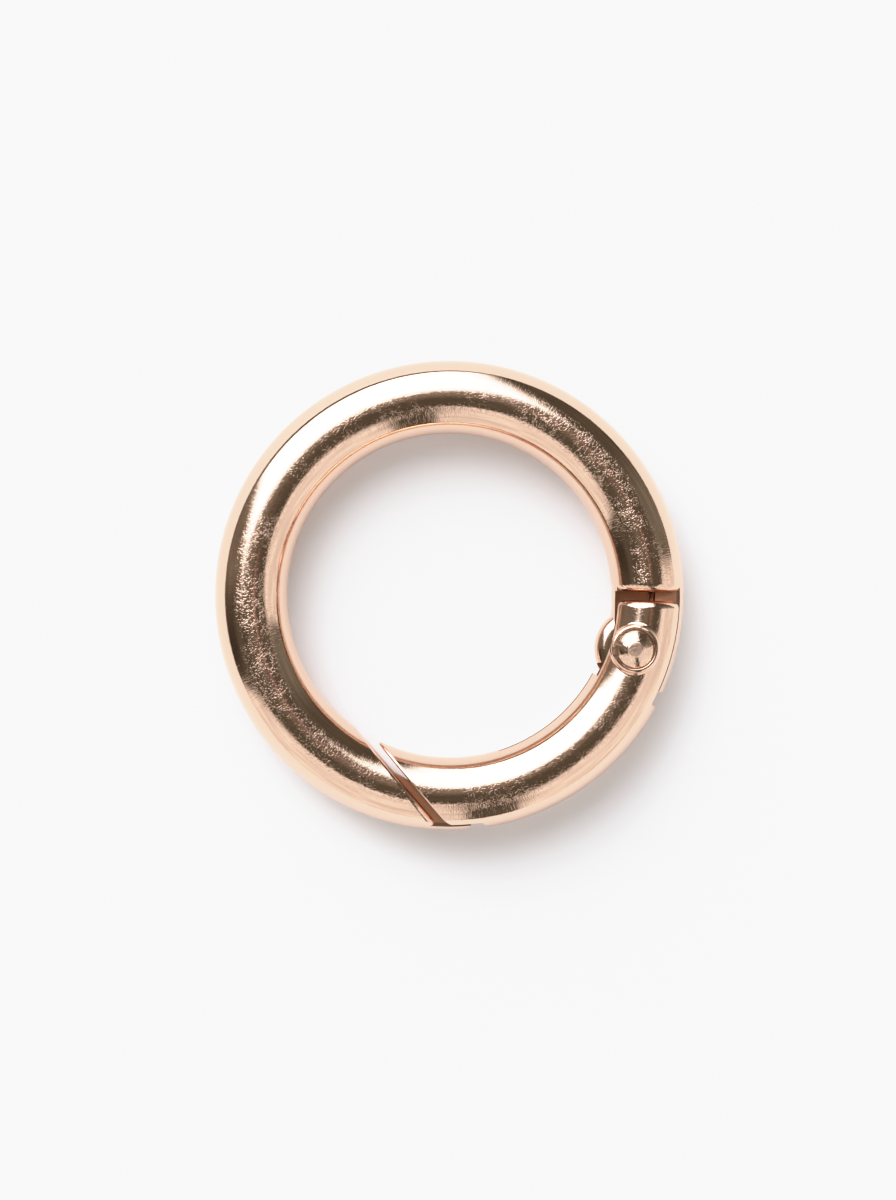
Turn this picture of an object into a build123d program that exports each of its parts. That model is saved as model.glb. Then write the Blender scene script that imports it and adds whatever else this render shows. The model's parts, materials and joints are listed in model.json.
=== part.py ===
from build123d import *
import os
from math import asin, cos, degrees, radians, sin

# Spring gate ring: a round-section ring whose lower right arc is a gate that swings inwards on a
# riveted hinge and is pushed shut by a small torsion spring.
# The ring lies in the XY plane, +Z runs along the hinge, and the origin is the ring's centre.
# Lengths are in millimetres. Angles are in degrees, anticlockwise from +X seen from +Z.

# Ring section
INNER_D = 22.0  # clear opening
WIRE_D = 5.0  # round section of ring and gate
WIRE_R = WIRE_D / 2
RING_R = INNER_D / 2 + WIRE_R  # centre line of the section
INNER_R = RING_R - WIRE_R
OUTER_R = RING_R + WIRE_R
SKIN = 0.25  # how far cutting shapes stand past the section's surface

# Hinge
PIN_INSET = 0.45  # how far the hinge axis lies inside the section's centre line
PIN_ANGLE = -16.15
PIN_R = 0.7  # rivet shank
RUNNING_FIT = 0.04  # radial, between shank and tongue
SEAT_FIT = 0.01  # radial, between shank and gate
KNUCKLE_R = 2.7  # eye of the tongue, which stands a little out of the gate on the inside
KNUCKLE_ROUND = 0.85
HINGE_FACE_ANGLE = 1.05  # where the ring's end face crosses the section's centre line
HINGE_FACE_SLANT = -1.3  # direction of that face, outwards
HINGE_GAP = 0.62  # from that face to the gate's heel
HINGE_ROUND = 0.5  # rims of both faces
TONGUE_T = 2.5  # thickness of the ring's hinge tongue
TONGUE_PLAY = 0.16  # each side of it in the gate's fork
TONGUE_INSET = 0.03  # its outer edge, under the section's surface
TONGUE_ROOT = 5.0  # how far the tongue runs into the ring, in degrees
TOE_ANGLE = -24.7  # far end of the tongue
TOE_ROUND = 0.6
FORK_END_ANGLE = -28.5  # end of the slot between the gate's cheeks

# Rivet heads and the bosses that they sit in, the same above and below
SEAT_R = 1.36  # counterbore in the boss
SEAT_ROUND = 0.06
SEAT_DEPTH = 0.2
BOSS_WALL = 0.26  # left round the counterbore
BOSS_RISE = 0.3  # height of the boss over the section's top
BOSS_ROUND = 0.16
BOSS_BLEND = 0.2  # hollow round its foot
HEAD_PLAY = 0.08  # radial, between a rivet head and its seat
HEAD_EDGE_T = 0.12
DOME_H = 0.58  # as if its top weren't flat
DOME_FLAT_R = 0.42

# Latch
LATCH_NORMAL_ANGLE = 40.75  # the ring's slanted end face looks this way
LATCH_FACE_ANGLE = -101.96  # where it crosses the section's centre line
LATCH_ROUND = 0.3  # rim of that face
LATCH_GAP = 0.5  # from that face to the gate's tip
GATE_TIP_ROUND = 0.12
GATE_CORNER_ROUND = 1.5  # outer corner of the gate's tip, in plan
LATCH_T = 2.4  # thickness of the ring's latch tongue
LATCH_PLAY = 0.2  # each side of it in the gate's slot
LATCH_ROOT_INSET = 0.9  # inner edge of the tongue at its root, inside the centre line
LATCH_TIP_INSET = 0.58  # centre of its round tip, inside the outer surface
LATCH_TIP_ANGLE = -85.95
LATCH_TIP_ROUND = 0.42
LATCH_REST_GAP = 0.12  # from the tongue to the slot's floor with the gate shut
SLOT_END_ANGLE = -80.2

# Spring, and its room in tongue and gate
GATE_OPENS = 45.0  # travel of the gate, clockwise seen from +Z
SPRING_WIRE_D = 0.4
COIL_R = 1.05  # mean radius
COIL_TURNS = 2  # whole turns, besides the angle between the legs
COIL_PITCH = 0.42
COIL_REST_GAP = 0.05  # under the coil
SPRING_ROOM = 0.2  # free space round the coil and beside the moving leg
LEG_SLIMMER = 0.005  # the straight legs are this much thinner in radius than the coil's wire
LEG_ANGLE = -128.0  # direction of the gate's leg with the gate shut
LEG_L = 8.0
LEG_REST_GAP = 0.02  # from that leg's end to the floor of its channel
POCKET_DEPTH = 1.6  # below the tongue's upper face
POCKET_WALL = 0.25  # left on the inside of the ring
POCKET_OUTSET = 0.45  # its outer wall, outside the centre line
ANCHOR_DEPTH = 0.8  # blind hole in the ring's end face for the fixed leg
ANCHOR_PLAY = 0.05
CHANNEL_W = 1.4  # groove along the inside of the gate
CHANNEL_END_ANGLE = -72.5

PIN_AT_R = RING_R - PIN_INSET
LATCH_FACE_AT = RING_R * cos(radians(LATCH_NORMAL_ANGLE - LATCH_FACE_ANGLE))
LATCH_ROOT_R = RING_R - LATCH_ROOT_INSET
LATCH_TIP_AT_R = OUTER_R - LATCH_TIP_INSET
FORK_W = TONGUE_T + 2 * TONGUE_PLAY
SLOT_W = LATCH_T + 2 * LATCH_PLAY
BOSS_TOP = WIRE_R + BOSS_RISE
SEAT_Z = BOSS_TOP - SEAT_DEPTH
BOSS_R = SEAT_R + BOSS_WALL
HEAD_R = SEAT_R - HEAD_PLAY
LEG_R = SPRING_WIRE_D / 2
POCKET_FLOOR = TONGUE_T / 2 - POCKET_DEPTH
COIL_FOOT = POCKET_FLOOR + COIL_REST_GAP + LEG_R
FAR = 2 * OUTER_R  # past everything


def at(radius, angle):
    """Point in the mid plane, in polar coordinates about the ring's centre."""
    return Vector(radius * cos(radians(angle)), radius * sin(radians(angle)))


def heading(angle):
    """Unit vector in the mid plane."""
    return at(1, angle)


PIN = at(PIN_AT_R, PIN_ANGLE)
HINGE_ALONG = heading(HINGE_FACE_SLANT)  # along the ring's hinge face, outwards
HINGE_NORMAL = heading(HINGE_FACE_SLANT - 90)  # out of that face
HINGE_START = at(RING_R, HINGE_FACE_ANGLE) - HINGE_ALONG * RING_R  # on its line, near the centre
PIN_DEPTH = (PIN - HINGE_START).dot(HINGE_NORMAL)  # from that face to the hinge axis
LATCH_ALONG = heading(LATCH_NORMAL_ANGLE - 90)
LATCH_NORMAL = heading(LATCH_NORMAL_ANGLE)


def on_latch_face(radius, gap=0.0):
    """Point at this radius on the ring's slanted face, or on the gate's across the gap."""
    offset = LATCH_FACE_AT + gap
    return LATCH_NORMAL * offset + LATCH_ALONG * (radius**2 - offset**2) ** 0.5


def plate(outline, low, high):
    """Straight-sided prism over a closed plan outline, between two heights."""
    return Pos(0, 0, low) * extrude(make_face(Polyline(*outline, close=True)), high - low)


def slab(outline, thickness):
    """The same, centred on the mid plane."""
    return plate(outline, -thickness / 2, thickness / 2)


def disc(radius, thickness, centre=PIN):
    """Flat cylinder centred on the mid plane, about the hinge unless told otherwise."""
    return Pos(centre.X, centre.Y) * Cylinder(radius, thickness)


def fan(start, end):
    """Plan outline of a pie slice that reaches past the ring."""
    return [Vector(0, 0), at(FAR, start), at(FAR, (start + end) / 2), at(FAR, end)]


def ring_arc(start, end, inset=0.0):
    """A length of the round section, or of a slightly thinner one."""
    section = Plane.XZ * Pos(RING_R, 0) * Circle(WIRE_R - inset)
    return Rot(0, 0, start) * revolve(section, Axis.Z, end - start)


def gate_zone(hinge_gap, latch_gap):
    """The gate's side of both end faces, or as much of it as is left by the gaps."""
    start = HINGE_START + HINGE_NORMAL * hinge_gap
    outline = [
        start,
        start + HINGE_ALONG * FAR,
        at(FAR, (HINGE_FACE_ANGLE + LATCH_FACE_ANGLE) / 2),
        on_latch_face(FAR, latch_gap),
        LATCH_NORMAL * (LATCH_FACE_AT + latch_gap),
    ]
    return slab(outline, FAR)


def tip_corner():
    """What the round outer corner of the gate's tip leaves off, in plan."""
    slot_top_r = RING_R + (WIRE_R**2 - (SLOT_W / 2) ** 2) ** 0.5
    corner = on_latch_face(slot_top_r, LATCH_GAP)
    before = on_latch_face(RING_R, LATCH_GAP)
    after = at(OUTER_R + SKIN, SLOT_END_ANGLE)
    square = make_face(Polyline(before, corner, after, close=True))
    vertex = square.vertices().sort_by_distance(corner)[0]
    return extrude(square - fillet(vertex, GATE_CORNER_ROUND), FAR, both=True)


def round_end(part, towards, radius):
    """Rounds the rim of the flat face that looks in one direction."""
    faces = part.faces().filter_by(GeomType.PLANE)
    face = max(faces, key=lambda each: each.normal_at().dot(towards))
    return fillet(face.edges(), radius)


def hinge_tongue():
    """Neck, eye and toe in the mid plane, as round as the ring except for the eye."""
    root_angle = HINGE_FACE_ANGLE + TONGUE_ROOT
    neck = slab(fan(PIN_ANGLE, root_angle), TONGUE_T)
    sector = make_face(Polyline(*fan(TOE_ANGLE, PIN_ANGLE), close=True))
    band = Circle(OUTER_R + SKIN) - Circle(PIN_AT_R)
    toe_plan = sector & band
    tip = toe_plan.vertices().sort_by_distance(at(FAR, TOE_ANGLE))[0]
    toe = extrude(fillet(tip, TOE_ROUND), TONGUE_T / 2, both=True)
    blade = ring_arc(FORK_END_ANGLE, 2 * root_angle, TONGUE_INSET) & (neck + toe)
    eye = disc(KNUCKLE_R, TONGUE_T)
    return blade + fillet(eye.edges(), KNUCKLE_ROUND)


def leg_root(turn):
    """Direction from the hinge axis to where the gate's leg leaves the coil."""
    return heading(LEG_ANGLE + 90 - turn)


def spring_pocket():
    """Room in the tongue for the coil, the fixed leg and the sweep of the gate's leg."""
    depth = HINGE_NORMAL * PIN_DEPTH
    inner = HINGE_START + HINGE_ALONG * (INNER_R + POCKET_WALL)
    outer = HINGE_START + HINGE_ALONG * (RING_R + POCKET_OUTSET)
    neck = plate([inner, outer, outer + depth, inner + depth], POCKET_FLOOR, TONGUE_T)
    reach = 2 * KNUCKLE_R
    margin = LEG_R + SPRING_ROOM
    shut = PIN + leg_root(0) * (COIL_R + margin)
    opened = PIN + leg_root(GATE_OPENS) * (COIL_R - margin)
    shut_end = shut + heading(LEG_ANGLE) * reach
    opened_end = opened + heading(LEG_ANGLE - GATE_OPENS) * reach
    sweep = plate([PIN, shut, shut_end, opened_end, opened], POCKET_FLOOR, TONGUE_T)
    coil_room = disc(COIL_R + margin, 2 * TONGUE_T)
    above_floor = Pos(PIN.X, PIN.Y, POCKET_FLOOR + FAR / 2) * Box(FAR, FAR, FAR)
    return neck + sweep + (coil_room & above_floor)


def coil_angle():
    """Angle that the wire winds through, from the gate's leg up to the fixed leg."""
    return HINGE_FACE_SLANT - (LEG_ANGLE + 90) + 360 * COIL_TURNS


def coil_top():
    """Height of the fixed leg's centre line."""
    return COIL_FOOT + COIL_PITCH * coil_angle() / 360


def straight_leg(root, direction, length, radius):
    """Round rod that leaves the coil in one direction, rooted a little way into its wire."""
    start = Plane(root - direction * LEG_R, z_dir=direction)
    return extrude(start * Circle(radius), length + LEG_R)


def fixed_leg(radius, end_gap):
    """The leg that is hooked into the ring's end face, or with more radius the hole for it."""
    root = PIN + HINGE_ALONG * COIL_R + Vector(0, 0, coil_top())
    length = PIN_DEPTH + ANCHOR_DEPTH - end_gap
    return straight_leg(root, -HINGE_NORMAL, length, radius)


def latch_tongue():
    """Wedge on the outside of the ring that runs into the gate's slot, with a round tip."""
    root = Line(on_latch_face(LATCH_ROOT_R), on_latch_face(OUTER_R + SKIN))
    tip = Pos(at(LATCH_TIP_AT_R, LATCH_TIP_ANGLE)) * CenterArc((0, 0), LATCH_TIP_ROUND, 0, 360)
    wedge = extrude(make_hull(root.edges() + tip.edges()), LATCH_T / 2, both=True)
    return wedge + root_block()


def root_block():
    """The wedge's start, inside the ring."""
    inner = on_latch_face(LATCH_ROOT_R)
    outer = on_latch_face(OUTER_R + SKIN)
    depth = LATCH_NORMAL * -WIRE_R
    return slab([inner, outer, outer + depth, inner + depth], LATCH_T)


def latch_floor_angle():
    """Direction of the wedge's inner side, from its root to its round tip."""
    span = at(LATCH_TIP_AT_R, LATCH_TIP_ANGLE) - on_latch_face(LATCH_ROOT_R)
    return degrees(asin(span.Y / span.length)) + degrees(asin(LATCH_TIP_ROUND / span.length))


def latch_slot():
    """Room for the wedge in the gate's tip, open outwards and towards the ring."""
    along = heading(latch_floor_angle())
    inwards = heading(latch_floor_angle() + 90)
    root = on_latch_face(LATCH_ROOT_R) + inwards * LATCH_REST_GAP
    wall = heading(SLOT_END_ANGLE)
    reach = root.cross(wall).Z / -along.cross(wall).Z
    past_face = LATCH_NORMAL * -WIRE_R
    outside = on_latch_face(FAR)
    outline = [root, root + along * reach, wall * FAR, outside, outside + past_face]
    return slab([*outline, root + past_face], SLOT_W)


def spring_channel():
    """Groove along the inside of the gate, as deep as the gate's leg needs."""
    leg_end = PIN + leg_root(0) * COIL_R + heading(LEG_ANGLE) * LEG_L
    floor_r = leg_end.length + LEG_R + LEG_REST_GAP
    band = disc(floor_r, CHANNEL_W, Vector(0, 0))
    return slab(fan(CHANNEL_END_ANGLE, PIN_ANGLE), CHANNEL_W) & band


def add_boss(gate):
    """Round boss through both cheeks, hollow at its foot, with a counterbore for each rivet head."""
    post = disc(BOSS_R, 2 * BOSS_TOP)
    post = fillet(post.edges().filter_by(GeomType.CIRCLE), BOSS_ROUND)
    joined = gate + post
    joined = fillet(new_edges(gate, post, combined=joined), BOSS_BLEND)
    joined -= disc(SEAT_R, FAR) - disc(SEAT_R, 2 * SEAT_Z)
    circles = joined.edges().filter_by(GeomType.CIRCLE)
    high = [edge for edge in circles if abs(edge.center().Z) > SEAT_Z + SEAT_FIT]
    mouths = [edge for edge in high if edge.radius < SEAT_R + SEAT_FIT]
    return fillet(mouths, SEAT_ROUND)


def make_ring_body():
    """The fixed part of the ring, cast in one with its two tongues."""
    ring = Torus(RING_R, WIRE_R) - gate_zone(0, 0)
    ring = round_end(ring, HINGE_NORMAL, HINGE_ROUND)
    ring = round_end(ring, LATCH_NORMAL, LATCH_ROUND)
    torus = ring_arc(LATCH_NORMAL_ANGLE - 180, SLOT_END_ANGLE)
    ring += hinge_tongue()
    ring += latch_tongue() & torus
    ring -= disc(PIN_R + RUNNING_FIT, FAR)
    ring -= spring_pocket()
    return ring - fixed_leg(LEG_R + ANCHOR_PLAY, 0)


def make_gate():
    """The swinging arc: a fork with two bossed cheeks, a spring channel and a latch slot."""
    gate = ring_arc(LATCH_NORMAL_ANGLE - 180, 0) & gate_zone(HINGE_GAP, LATCH_GAP)
    gate = round_end(gate, -HINGE_NORMAL, HINGE_ROUND)
    gate = round_end(gate, -LATCH_NORMAL, GATE_TIP_ROUND)
    gate = add_boss(gate) - tip_corner()
    gate -= slab(fan(FORK_END_ANGLE, HINGE_FACE_ANGLE), FORK_W)
    gate -= spring_channel()
    gate -= latch_slot()
    return gate - disc(PIN_R + SEAT_FIT, FAR)


def make_hinge_rivet():
    """Shank with a flat-topped dome at each end, turned about the hinge axis."""
    rim = SEAT_Z + HEAD_EDGE_T
    dome_r = (HEAD_R**2 + DOME_H**2) / (2 * DOME_H)
    ball_z = rim + DOME_H - dome_r
    heads = disc(HEAD_R, FAR) & Pos(PIN.X, PIN.Y, ball_z) * Sphere(dome_r)
    flat_z = ball_z + (dome_r**2 - DOME_FLAT_R**2) ** 0.5
    upper = heads & Pos(PIN.X, PIN.Y, (SEAT_Z + flat_z) / 2) * Box(FAR, FAR, flat_z - SEAT_Z)
    return disc(PIN_R, 2 * SEAT_Z) + upper + mirror(upper, Plane.XY)


def make_torsion_spring():
    """Coil round the shank, one leg hooked into the ring and one along the gate's channel."""
    rise = COIL_PITCH * coil_angle() / 360
    path = Helix(COIL_PITCH, rise, COIL_R)
    coil = sweep(Plane(path @ 0, z_dir=path % 0) * Circle(LEG_R), path=path)
    coil = Pos(PIN.X, PIN.Y, COIL_FOOT) * Rot(0, 0, LEG_ANGLE + 90) * coil
    root = PIN + leg_root(0) * COIL_R + Vector(0, 0, COIL_FOOT)
    gate_leg = straight_leg(root, heading(LEG_ANGLE), LEG_L, LEG_R - LEG_SLIMMER)
    return coil + gate_leg + fixed_leg(LEG_R - LEG_SLIMMER, ANCHOR_PLAY)


PIECES = {
    "ring_body": make_ring_body,
    "gate": make_gate,
    "hinge_rivet": make_hinge_rivet,
    "torsion_spring": make_torsion_spring,
}

os.makedirs("parts", exist_ok=True)
for name, make in PIECES.items():
    export_step(make(), f"parts/{name}.step")
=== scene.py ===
import json
import math

import bpy
from mathutils import Matrix, Vector


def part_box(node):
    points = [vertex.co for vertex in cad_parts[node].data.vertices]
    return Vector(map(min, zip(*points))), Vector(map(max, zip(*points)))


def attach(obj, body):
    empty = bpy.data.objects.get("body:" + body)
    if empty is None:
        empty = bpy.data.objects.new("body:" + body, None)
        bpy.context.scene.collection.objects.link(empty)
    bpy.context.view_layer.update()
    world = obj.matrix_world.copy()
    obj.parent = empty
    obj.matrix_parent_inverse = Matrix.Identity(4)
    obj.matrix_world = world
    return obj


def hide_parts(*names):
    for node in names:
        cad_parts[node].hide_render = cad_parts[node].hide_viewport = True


# Spring gate ring in polished rose gold plate, lying on a pale table and seen from straight above.
# Lengths are in metres. Azimuths are in degrees anticlockwise from +X seen from +Z, and zeniths in
# degrees down from +Z.

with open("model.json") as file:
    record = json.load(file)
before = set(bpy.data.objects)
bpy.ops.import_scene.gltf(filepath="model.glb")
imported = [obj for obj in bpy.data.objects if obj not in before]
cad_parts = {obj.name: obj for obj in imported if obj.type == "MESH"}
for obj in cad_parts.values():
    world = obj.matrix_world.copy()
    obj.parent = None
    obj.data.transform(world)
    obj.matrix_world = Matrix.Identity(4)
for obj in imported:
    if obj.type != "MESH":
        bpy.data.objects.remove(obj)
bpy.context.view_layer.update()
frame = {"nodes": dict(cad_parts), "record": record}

# Camera
LENS_DISTANCE = 0.30
VIEW_HEIGHT = 0.0817  # what the long side of the picture covers in the ring's plane
SENSOR = 36.0
AIM_X, AIM_Y = -0.0001, -0.00032

# Table
TABLE_R = 1.5
TABLE_TONE = (0.94, 0.94, 0.945)
TABLE_ROUGH = 0.85
TABLE_SPECULAR = 0.2
TABLE_GLOW = 0.07  # lifts the shadows
PLAIN = (0.95, 0.95, 0.955)  # background behind the table's edge

# The camera's response: brightness before and after, up to the brightness where it clips
TONE_TOP = 2.0
TONES = [(0.0, 0.0), (0.8, 0.8), (0.95, 0.90), (1.1, 0.935), (1.3, 0.945), (TONE_TOP, 1.0)]

# Ring
rivet_low, rivet_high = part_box("hinge_rivet")
ring_low, ring_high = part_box("ring_body")
spring_low, spring_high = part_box("torsion_spring")
pin = Vector(frame["record"]["behaviour"]["joints"][0]["pos_m"])
WIRE_R = (ring_high.z - ring_low.z) / 2
RING_R = -ring_low.x - WIRE_R

# Plating
GOLD = (0.81, 0.56, 0.42)
CUT_FACE_SHADE = (0.72, 0.37, 0.22)  # painted shade: darker, redder gold on the cut faces, where little light gets in
POLISHED, SCUFFED, SATIN = 0.07, 0.22, 0.32  # roughness
SATIN_FROM, SATIN_FULL = 0.00005, 0.0003  # depth under the round section's surface
CREST_FROM, CREST_FULL = 0.84, 0.97  # height of the rubbed crest, in section radii
CREST_LEAST = 0.06  # wear on the rest of the section
RUBBED_AT = (38, 183)  # where the crest is scratched most
RUBBED_FROM, RUBBED_FULL, RUBBED_LEAST = 0.75, 0.97, 0.6  # cosines of the angle from them, and elsewhere
WEAR_SCALE, WEAR_LEAST = 400.0, 0.35
WEAR_FROM, WEAR_FULL = 0.36, 0.6
STRUCK_DEPTH, STRUCK_SCALE, STRUCK_H = 0.00006, 4500.0, 0.000028  # the rivet's flat top
PIT_SCALE, PIT_H = 8000.0, 0.0000055
PIT_FROM, PIT_FULL = 0.56, 0.66
SCRATCH_SCALE, SCRATCH_BREAKS, SCRATCH_H = 3600.0, 2700.0, 0.0000065
SCRATCH_WIDTH = 0.05  # how far the noise may be from its middle
BREAK_FROM, BREAK_FULL = 0.5, 0.56
HAIRLINE_W, HAIRLINE_L, HAIRLINE_H = 0.00006, 0.0007, 0.0000014
HAIRLINE_FROM, HAIRLINE_FULL = 0.5, 0.75
RIPPLE_SCALE, RIPPLE_H = 900.0, 0.000003

# Spring
STEEL = (0.62, 0.62, 0.63)
DRAWN_SCALE = 3000.0
DRAWN_SMOOTH, DRAWN_ROUGH = 0.22, 0.34
TUBE_SHARE = 0.97  # of the solid's radius, so that the tubes stay inside it
TUBE_SIDES = 16
COIL_STEPS = 160
BEND_STEPS = 12
SPRING_WIRE_R = 0.0002
COIL_TURNS = 2
FIXED_LEG_ANGLE = 88.7  # straight into the ring's end face
GATE_LEG_ANGLE = -128.0  # along the gate's channel
COIL_R = spring_high.x - pin.x - SPRING_WIRE_R


def direction(azimuth, zenith):
    """Unit vector towards a point of the surroundings."""
    a, z = math.radians(azimuth), math.radians(zenith)
    return Vector((math.sin(z) * math.cos(a), math.sin(z) * math.sin(a), math.cos(z)))


class Nodes:
    """A node tree with short calls for the nodes that are used here."""

    def __init__(self, owner):
        owner.use_nodes = True
        self.tree = owner.node_tree
        self.tree.nodes.clear()

    def add(self, kind, **settings):
        node = self.tree.nodes.new(kind)
        for name, value in settings.items():
            setattr(node, name, value)
        return node

    def feed(self, socket, value):
        if isinstance(value, bpy.types.NodeSocket):
            self.tree.links.new(value, socket)
        else:
            socket.default_value = value

    def math(self, operation, a, b=0.0, c=0.0):
        node = self.add("ShaderNodeMath", operation=operation)
        for socket, value in zip(node.inputs, (a, b, c)):
            self.feed(socket, value)
        return node.outputs[0]

    def vector(self, operation, a, b=(0, 0, 0)):
        node = self.add("ShaderNodeVectorMath", operation=operation)
        self.feed(node.inputs[0], a)
        if operation != "LENGTH":
            self.feed(node.inputs[1], b)
        return node.outputs["Value" if operation in ("DOT_PRODUCT", "LENGTH") else "Vector"]

    def times(self, vector, factor):
        node = self.add("ShaderNodeVectorMath", operation="SCALE")
        self.feed(node.inputs[0], vector)
        self.feed(node.inputs["Scale"], factor)
        return node.outputs["Vector"]

    def parts(self, vector):
        node = self.add("ShaderNodeSeparateXYZ")
        self.feed(node.inputs[0], vector)
        return node.outputs

    def join(self, x, y, z):
        node = self.add("ShaderNodeCombineXYZ")
        for socket, value in zip(node.inputs, (x, y, z)):
            self.feed(socket, value)
        return node.outputs[0]

    def ramp(self, value, low, high, out_low=0.0, out_high=1.0):
        node = self.add("ShaderNodeMapRange", interpolation_type="SMOOTHSTEP")
        for socket, given in zip(node.inputs, (value, low, high, out_low, out_high)):
            self.feed(socket, given)
        return node.outputs[0]

    def mix(self, share, a, b):
        node = self.add("ShaderNodeMix", data_type="RGBA")
        self.feed(node.inputs["Factor"], share)
        self.feed(node.inputs[6], a)
        self.feed(node.inputs[7], b)
        return node.outputs[2]

    def noise(self, place, scale, detail=2.0):
        node = self.add("ShaderNodeTexNoise")
        self.feed(node.inputs["Vector"], place)
        node.inputs["Scale"].default_value = scale
        node.inputs["Detail"].default_value = detail
        return node.outputs["Fac"]


def shade(rgb):
    return (*rgb, 1.0)


# Each light or dark panel of the surroundings: its colour, then its corners as azimuth, zenith and
# softness of the edge that starts there. Later ones cover earlier ones.
ROOM = (0.108, 0.100, 0.077)
WALL = (1.12, 1.09, 1.08)
MOTTLE_SCALE, MOTTLE_LOW, MOTTLE_HIGH = 6.0, 0.8, 1.15
HORIZON = 90  # the table covers what lies below
PANELS = {
    "zenith_glow": ((0.27, 0.25, 0.21), [(60, 26, 0.12), (175, 26, 0.15), (200, 4, 0.1), (20, 6, 0.1)]),
    "left_glow": ((0.22, 0.20, 0.17), [(140, 92, 0.15), (178, 92, 0.08), (178, 30, 0.15), (150, 25, 0.2)]),
    "right_glow": ((0.22, 0.22, 0.19), [(8, 92, 0.1), (34, 92, 0.15), (34, 40, 0.1), (8, 50, 0.15)]),
    "left_dark": ((0.06, 0.05, 0.04), [(184, 92, 0.05), (198, 92, 0.05), (198, 60, 0.2), (184, 60, 0.2)]),
    "tube_glow": ((0.19, 0.14, 0.125), [(-10, 3, 0.03), (-10, 21, 0.04), (70, 16, 0.03), (70, 6, 0.04)]),
    "thin_tube": ((0.52, 0.34, 0.30), [(-6, 9.5, 0.03), (-6, 14, 0.01), (66, 13.5, 0.03), (66, 10, 0.01)]),
    "softbox": ((4.0, 4.1, 4.4), [(62, 31, 0.13), (83, 85.5, 0.03), (145, 79.5, 0.12), (168, 27, 0.12)]),
    "softbox_core": ((7.0, 7.2, 7.6), [(115, 30, 0.2), (115, 72, 0.15), (143, 70, 0.12), (156, 35, 0.15)]),
    "left_wall": (WALL, [(203, 92, 0.03), (274, 92, 0.03), (273, 31, 0.04), (209, 47, 0.04)]),
    "right_wall": (WALL, [(288.5, 92, 0.03), (369.5, 92, 0.03), (368, 47, 0.05), (290.5, 41, 0.04)]),
}


def panel_mask(nodes, towards, corners):
    """1 inside a straight-edged panel of the surroundings, 0 outside."""
    inside = 1.0
    turned = corners[1:] + corners[:1]
    for start, end in zip(corners, turned):
        if min(start[1], end[1]) > HORIZON:
            continue
        across = direction(*start[:2]).cross(direction(*end[:2])).normalized() / start[2]
        side = nodes.vector("DOT_PRODUCT", towards, tuple(across))
        inside = nodes.math("MINIMUM", inside, side)
    return nodes.ramp(inside, -1.0, 1.0)


def make_world():
    world = bpy.data.worlds.new("studio")
    bpy.context.scene.world = world
    nodes = Nodes(world)
    towards = nodes.add("ShaderNodeTexCoord").outputs["Generated"]
    light = shade(ROOM)
    for colour, corners in PANELS.values():
        light = nodes.mix(panel_mask(nodes, towards, corners), light, shade(colour))
    mottle = nodes.ramp(nodes.noise(towards, MOTTLE_SCALE), 0.3, 0.7, MOTTLE_LOW, MOTTLE_HIGH)
    light = nodes.times(light, mottle)
    seen = nodes.add("ShaderNodeLightPath").outputs["Is Camera Ray"]
    light = nodes.mix(seen, light, shade(PLAIN))
    back = nodes.add("ShaderNodeBackground")
    nodes.feed(back.inputs["Color"], light)
    out = nodes.add("ShaderNodeOutputWorld")
    nodes.feed(out.inputs["Surface"], back.outputs[0])


def make_camera():
    data = bpy.data.cameras.new("camera")
    data.sensor_width = SENSOR
    data.lens = SENSOR * LENS_DISTANCE / VIEW_HEIGHT
    data.clip_start, data.clip_end = 0.01, 10
    camera = bpy.data.objects.new("camera", data)
    camera.location = (AIM_X, AIM_Y, LENS_DISTANCE)
    bpy.context.scene.collection.objects.link(camera)
    bpy.context.scene.camera = camera


def make_table():
    """The ring rests on the lower rivet head and on the far side of the wire, so it lies at a
    slant of under two degrees; the table takes that slant here."""
    near = Vector((pin.x, pin.y, rivet_low.z))
    far = Vector((pin.x, pin.y, 0)).normalized() * -RING_R
    far.z = ring_low.z
    slope = (near - far).normalized()
    side = Vector((0, 0, 1)).cross(slope).normalized()
    up = slope.cross(side)
    turn = Matrix((slope, side, up)).transposed().to_4x4()
    mesh = bpy.data.meshes.new("table")
    corners = [(-TABLE_R, -TABLE_R, 0), (TABLE_R, -TABLE_R, 0), (TABLE_R, TABLE_R, 0), (-TABLE_R, TABLE_R, 0)]
    mesh.from_pydata(corners, [], [(0, 1, 2, 3)])
    table = bpy.data.objects.new("table", mesh)
    table.matrix_world = Matrix.Translation(near) @ turn
    bpy.context.scene.collection.objects.link(table)
    material = bpy.data.materials.new("table_top")
    nodes = Nodes(material)
    surface = nodes.add("ShaderNodeBsdfPrincipled")
    surface.inputs["Base Color"].default_value = shade(TABLE_TONE)
    surface.inputs["Roughness"].default_value = TABLE_ROUGH
    surface.inputs["Specular IOR Level"].default_value = TABLE_SPECULAR
    surface.inputs["Emission Color"].default_value = shade(TABLE_TONE)
    surface.inputs["Emission Strength"].default_value = TABLE_GLOW
    out = nodes.add("ShaderNodeOutputMaterial")
    nodes.feed(out.inputs["Surface"], surface.outputs[0])
    mesh.materials.append(material)


def metal(name, colour, build):
    """A metal whose other inputs the build function fills in."""
    material = bpy.data.materials.new(name)
    nodes = Nodes(material)
    surface = nodes.add("ShaderNodeBsdfPrincipled")
    surface.inputs["Metallic"].default_value = 1.0
    surface.inputs["Base Color"].default_value = shade(colour)
    build(nodes, nodes.add("ShaderNodeTexCoord").outputs["Object"], surface)
    out = nodes.add("ShaderNodeOutputMaterial")
    nodes.feed(out.inputs["Surface"], surface.outputs[0])
    return material


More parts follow.
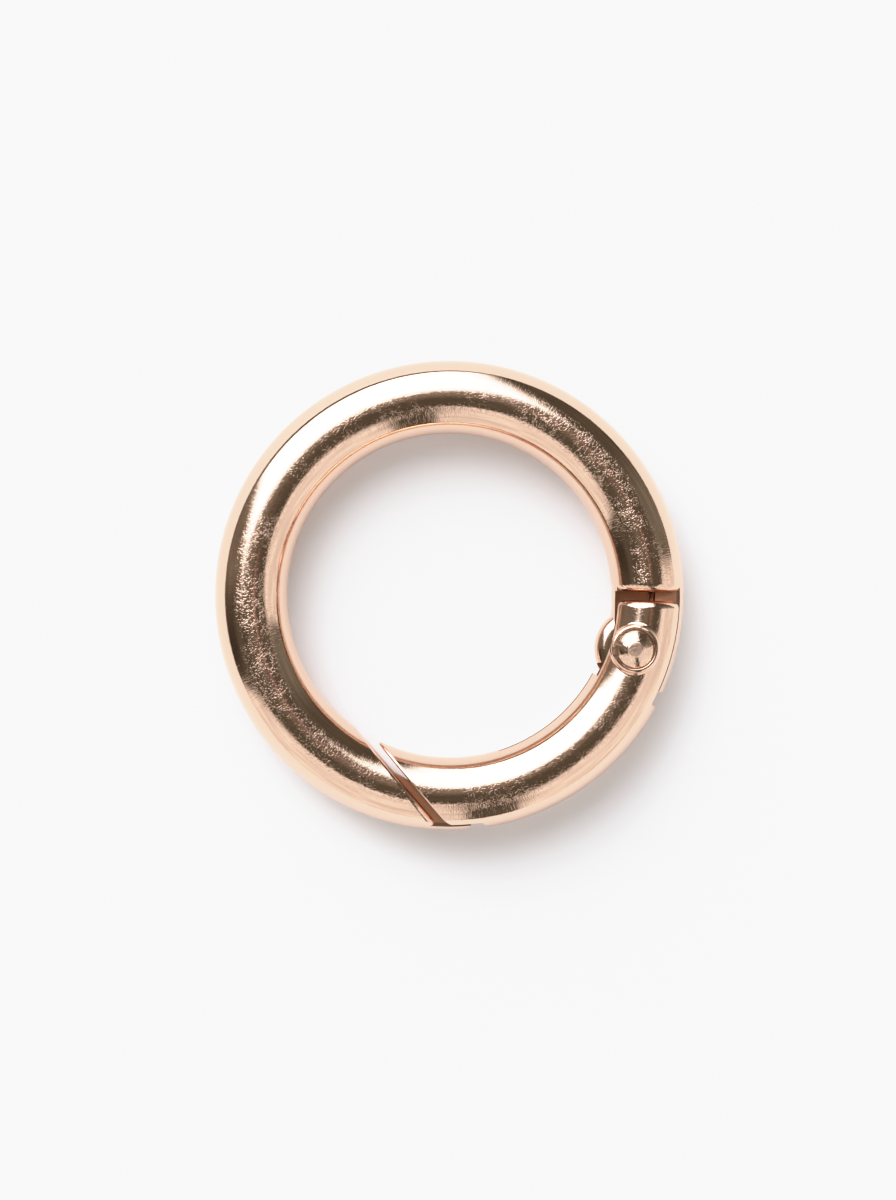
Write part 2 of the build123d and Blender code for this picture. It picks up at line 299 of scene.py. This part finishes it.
def wear(nodes, place, x, y, z):
    """Where the plating is worn: on the rubbed crest, in patches, and most near two places."""
    height = nodes.math("ABSOLUTE", z)
    crest = nodes.ramp(height, CREST_FROM * WIRE_R, CREST_FULL * WIRE_R, CREST_LEAST, 1.0)
    way = nodes.vector("NORMALIZE", nodes.join(x, y, 0.0))
    near = [nodes.vector("DOT_PRODUCT", way, tuple(direction(angle, 90))) for angle in RUBBED_AT]
    rubbed = nodes.ramp(nodes.math("MAXIMUM", *near), RUBBED_FROM, RUBBED_FULL, RUBBED_LEAST, 1.0)
    patches = nodes.ramp(nodes.noise(place, WEAR_SCALE, 3.0), WEAR_FROM, WEAR_FULL, WEAR_LEAST, 1.0)
    return nodes.math("MULTIPLY", nodes.math("MULTIPLY", crest, patches), rubbed)


def handling_marks(nodes, place, worn):
    """Pits, and winding scratches that break off, both only where the plating is worn."""
    pits = nodes.ramp(nodes.noise(place, PIT_SCALE, 0.0), PIT_FROM, PIT_FULL)
    pits = nodes.math("MULTIPLY", pits, worn)
    off_middle = nodes.math("SUBTRACT", nodes.noise(place, SCRATCH_SCALE), 0.5)
    winding = nodes.ramp(nodes.math("ABSOLUTE", off_middle), SCRATCH_WIDTH, 0.0)
    broken = nodes.ramp(nodes.noise(place, SCRATCH_BREAKS, 0.0), BREAK_FROM, BREAK_FULL)
    scratches = nodes.math("MULTIPLY", winding, nodes.math("MULTIPLY", broken, worn))
    return pits, scratches


def drawn_lines(nodes, x, y, z, outwards):
    """Hairlines round the section."""
    along = nodes.math("MULTIPLY", nodes.math("ARCTAN2", y, x), RING_R)
    around = nodes.math("MULTIPLY", nodes.math("ARCTAN2", z, outwards), WIRE_R)
    across = nodes.math("DIVIDE", along, HAIRLINE_W)
    lengthways = nodes.math("DIVIDE", around, HAIRLINE_L)
    noise = nodes.noise(nodes.join(across, lengthways, 0.0), 1.0)
    return nodes.ramp(noise, HAIRLINE_FROM, HAIRLINE_FULL)


def plated(nodes, place, surface):
    """Polished outside with hairlines round the section, scratches and pits where it rubs, and
    satin on the cut faces, which painted shade also darkens."""
    x, y, z = nodes.parts(place)
    radius = nodes.vector("LENGTH", nodes.join(x, y, 0.0))
    outwards = nodes.math("SUBTRACT", radius, RING_R)
    from_centre = nodes.vector("LENGTH", nodes.join(outwards, z, 0.0))
    depth = nodes.math("SUBTRACT", WIRE_R, from_centre)
    cut = nodes.ramp(depth, SATIN_FROM, SATIN_FULL)
    # painted shade: the cut faces are mixed towards a darker, redder colour, where little light gets in
    nodes.feed(surface.inputs["Base Color"], nodes.mix(cut, shade(GOLD), shade(CUT_FACE_SHADE)))
    struck = nodes.ramp(z, rivet_high.z - STRUCK_DEPTH, rivet_high.z - STRUCK_DEPTH / 2)
    pits, scratches = handling_marks(nodes, place, wear(nodes, place, x, y, z))
    reliefs = (
        (nodes.noise(place, RIPPLE_SCALE), RIPPLE_H),
        (drawn_lines(nodes, x, y, z, outwards), HAIRLINE_H),
        (pits, PIT_H),
        (scratches, SCRATCH_H),
        (nodes.math("MULTIPLY", nodes.noise(place, STRUCK_SCALE, 1.0), struck), STRUCK_H),
    )
    relief = 0.0
    for pattern, height in reliefs:
        relief = nodes.math("ADD", nodes.math("MULTIPLY", pattern, height), relief)
    bump = nodes.add("ShaderNodeBump")
    bump.inputs["Strength"].default_value = 1.0
    bump.inputs["Distance"].default_value = 1.0
    nodes.feed(bump.inputs["Height"], relief)
    nodes.feed(surface.inputs["Normal"], bump.outputs[0])
    polish = nodes.ramp(nodes.math("MAXIMUM", pits, scratches), 0.0, 1.0, POLISHED, SCUFFED)
    satin = nodes.math("MULTIPLY", nodes.math("MAXIMUM", cut, struck), SATIN)
    nodes.feed(surface.inputs["Roughness"], nodes.math("MAXIMUM", polish, satin))


def drawn(nodes, place, surface):
    """Drawn spring wire."""
    grain = nodes.noise(place, DRAWN_SCALE)
    nodes.feed(surface.inputs["Roughness"], nodes.ramp(grain, 0.3, 0.7, DRAWN_SMOOTH, DRAWN_ROUGH))


def tube(name, path, radius, material):
    """Round wire along a list of points, closed at both ends."""
    steps = range(len(path))
    ways = [(path[min(i + 1, len(path) - 1)] - path[max(i - 1, 0)]).normalized() for i in steps]
    side = ways[0].orthogonal().normalized()
    points = []
    for point, way in zip(path, ways):
        side = (side - way * side.dot(way)).normalized()
        turns = [Matrix.Rotation(2 * math.pi * k / TUBE_SIDES, 3, way) for k in range(TUBE_SIDES)]
        points += [point + turn @ side * radius for turn in turns]
    faces = [tuple(range(TUBE_SIDES))[::-1], tuple(range(len(points) - TUBE_SIDES, len(points)))]
    for i in steps[:-1]:
        for k in range(TUBE_SIDES):
            a, b = i * TUBE_SIDES + k, i * TUBE_SIDES + (k + 1) % TUBE_SIDES
            faces.append((a, b, b + TUBE_SIDES, a + TUBE_SIDES))
    mesh = bpy.data.meshes.new(name)
    mesh.from_pydata(points, [], faces)
    mesh.shade_smooth()
    mesh.materials.append(material)
    piece = bpy.data.objects.new(name, mesh)
    bpy.context.scene.collection.objects.link(piece)
    return piece


def on_coil(angle, height):
    """Point of the coil's centre line, by its direction from the hinge axis."""
    return Vector((pin.x, pin.y, height)) + direction(angle, 90) * COIL_R


def make_spring(steel):
    """The coil and its fixed leg stay with the ring, and the other leg turns with the gate."""
    foot = spring_low.z + SPRING_WIRE_R
    top = spring_high.z - SPRING_WIRE_R
    start = GATE_LEG_ANGLE + 90
    end = FIXED_LEG_ANGLE - 90 + 360 * COIL_TURNS
    angles = [start + (end - start) * i / COIL_STEPS for i in range(COIL_STEPS + 1)]
    coil = [on_coil(a, foot + (top - foot) * (a - start) / (end - start)) for a in angles]
    leg_way = direction(FIXED_LEG_ANGLE, 90)
    coil.append(coil[-1] + leg_way * ((spring_high.y - coil[-1].y) / leg_way.y))
    fixed = tube("spring_coil", coil, SPRING_WIRE_R * TUBE_SHARE, steel)
    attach(fixed, "ring")
    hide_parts("torsion_spring")

    opens = max(frame["record"]["behaviour"]["joints"][0]["range_deg"])
    bend = [on_coil(start + opens * (1 - i / BEND_STEPS), foot) for i in range(BEND_STEPS + 1)]
    leg_way = direction(GATE_LEG_ANGLE, 90)
    bend.append(bend[-1] + leg_way * ((spring_low.y + SPRING_WIRE_R - bend[-1].y) / leg_way.y))
    moving = tube("spring_gate_leg", bend, SPRING_WIRE_R * TUBE_SHARE, steel)
    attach(moving, "swing_gate")
    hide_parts("torsion_spring")


def make_tones():
    """Colours as the camera gives them, with soft highlights."""
    view = bpy.context.scene.view_settings
    view.view_transform = "Standard"
    view.use_curve_mapping = True
    mapping = view.curve_mapping
    mapping.white_level = (TONE_TOP,) * 3
    points = mapping.curves[3].points
    while len(points) < len(TONES):
        points.new(1.0, 1.0)
    for point, (before, after) in zip(points, TONES):
        point.location = (before / TONE_TOP, after)
        point.handle_type = "VECTOR"
    mapping.update()


make_world()
make_camera()
make_table()
gold = metal("rose_gold", GOLD, plated)
steel = metal("spring_steel", STEEL, drawn)
for name in ("ring_body", "gate", "hinge_rivet"):
    frame["nodes"][name].material_slots[0].material = gold
make_spring(steel)
make_tones()
